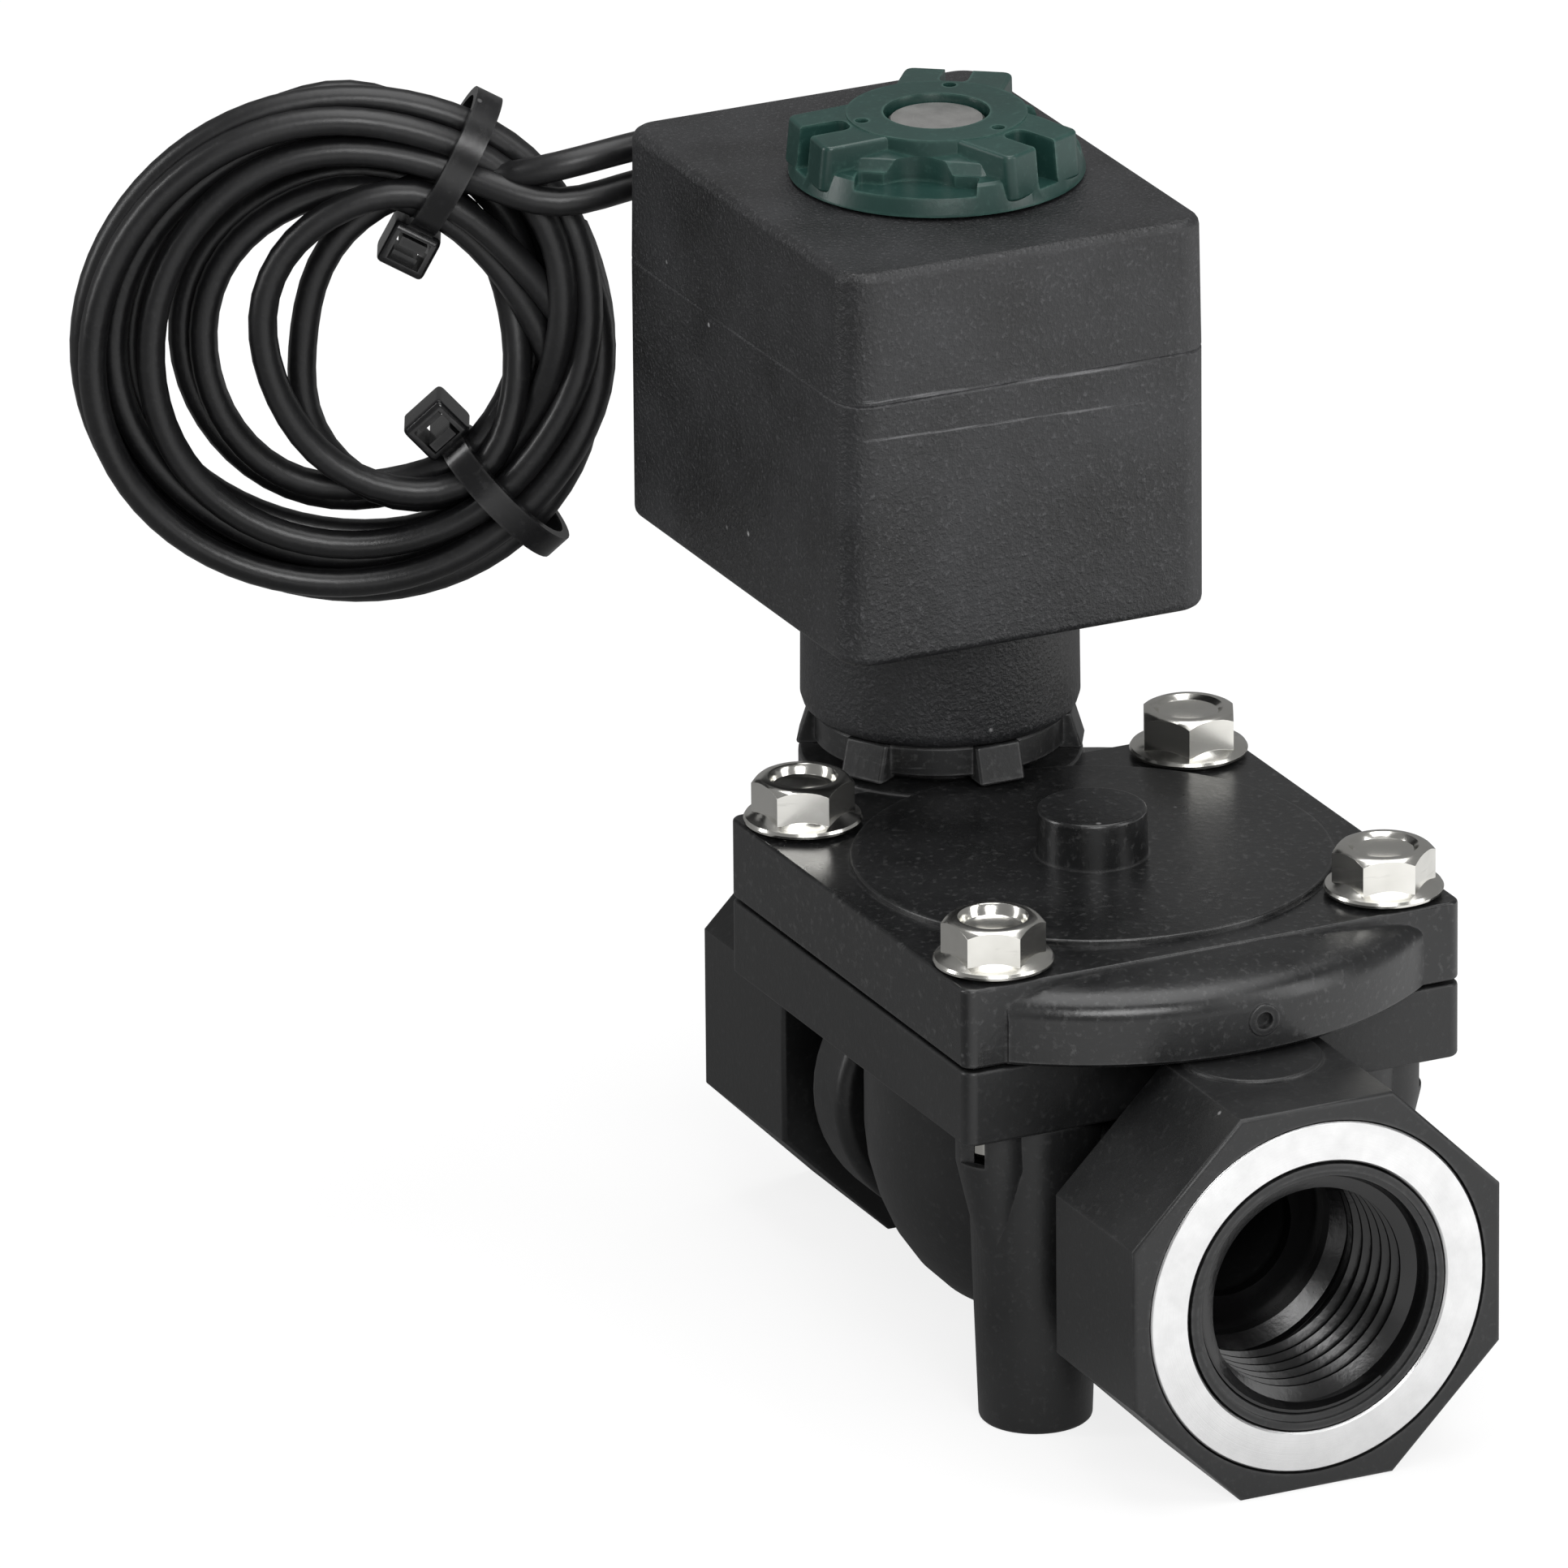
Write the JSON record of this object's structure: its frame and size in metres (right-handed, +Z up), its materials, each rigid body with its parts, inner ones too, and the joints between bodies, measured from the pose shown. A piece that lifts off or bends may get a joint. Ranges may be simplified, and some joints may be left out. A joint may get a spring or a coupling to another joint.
{
  "type": "solenoid valve",
  "caption": "Pilot-operated diaphragm solenoid valve with octagonal threaded ports, screwed cover, swivelling square coil, green retaining cap and tied flying leads.",
  "frame": {"origin": "bottom centre of the valve without its leads, on the surface it stands on", "axes": "+X along the flow towards the outlet port, +Z up along the coil, +Y across the flow"},
  "size_m": [0.1311, 0.0853, 0.1045],
  "materials": {
    "black_nylon": "black glass-filled nylon, satin",
    "coil_black": "charcoal encapsulation with fine grain",
    "green_nylon": "dark green moulded nylon, semi-gloss",
    "rubber": "black nitrile rubber",
    "plated_steel": "bright plated",
    "stainless": "turned stainless steel",
    "aluminium": "bright turned",
    "brass": "turned brass",
    "copper": "enamelled copper",
    "lead_jacket": "black insulation, satin",
    "tie_nylon": "black tie nylon",
    "bobbin_nylon": "natural nylon"
  },
  "bodies": {
    "valve": {"valve_body": "black_nylon", "valve_cover": "black_nylon", "inlet_port_ring": "aluminium", "outlet_port_ring": "aluminium", "cover_screw_1": "plated_steel", "cover_screw_2": "plated_steel", "cover_screw_3": "plated_steel", "cover_screw_4": "plated_steel", "cover_insert_1": "brass", "cover_insert_2": "brass", "cover_insert_3": "brass", "cover_insert_4": "brass", "mount_insert_1": "brass", "mount_insert_2": "brass", "diaphragm": "rubber", "main_spring": "stainless", "pilot_seat": "brass", "core_tube": "stainless", "shading_ring": "copper", "fixed_core": "stainless", "tube_o_ring": "rubber", "plunger_spring": "stainless", "bonnet_nut": "black_nylon"},
    "coil": {"coil_housing": "coil_black", "coil_yoke": "stainless", "coil_bobbin": "bobbin_nylon", "coil_winding": "copper", "lead_grommet": "rubber", "lead_1": "lead_jacket", "lead_2": "lead_jacket", "lead_bundle": "lead_jacket", "cable_tie_1": "tie_nylon", "cable_tie_2": "tie_nylon"},
    "cap": {"retaining_cap": "green_nylon"},
    "plunger": {"plunger": "stainless", "plunger_seal": "rubber"},
    "piston": {"seat_disc": "rubber", "disc_holder": "stainless", "diaphragm_support": "black_nylon", "diaphragm_nut": "stainless", "diaphragm_screw": "stainless"}
  },
  "joints": [
    {"name": "coil_swivel", "type": "hinge", "parent": "valve", "child": "coil", "pos_m": [-0.0241, 0, 0.08], "axis": [0, 0, 1], "continuous": true},
    {"name": "cap_turn", "type": "hinge", "parent": "valve", "child": "cap", "pos_m": [-0.0241, 0, 0.1], "axis": [0, 0, 1], "continuous": true},
    {"name": "plunger_lift", "type": "slide", "parent": "valve", "child": "plunger", "axis": [0, 0, 1], "range_m": [0, 0.0016], "stiffness_N_per_m": 250, "deforming": ["plunger_spring"]},
    {"name": "diaphragm_lift", "type": "slide", "parent": "valve", "child": "piston", "axis": [0, 0, 1], "range_m": [0, 0.003], "stiffness_N_per_m": 300, "deforming": ["diaphragm", "main_spring"]}
  ]
}
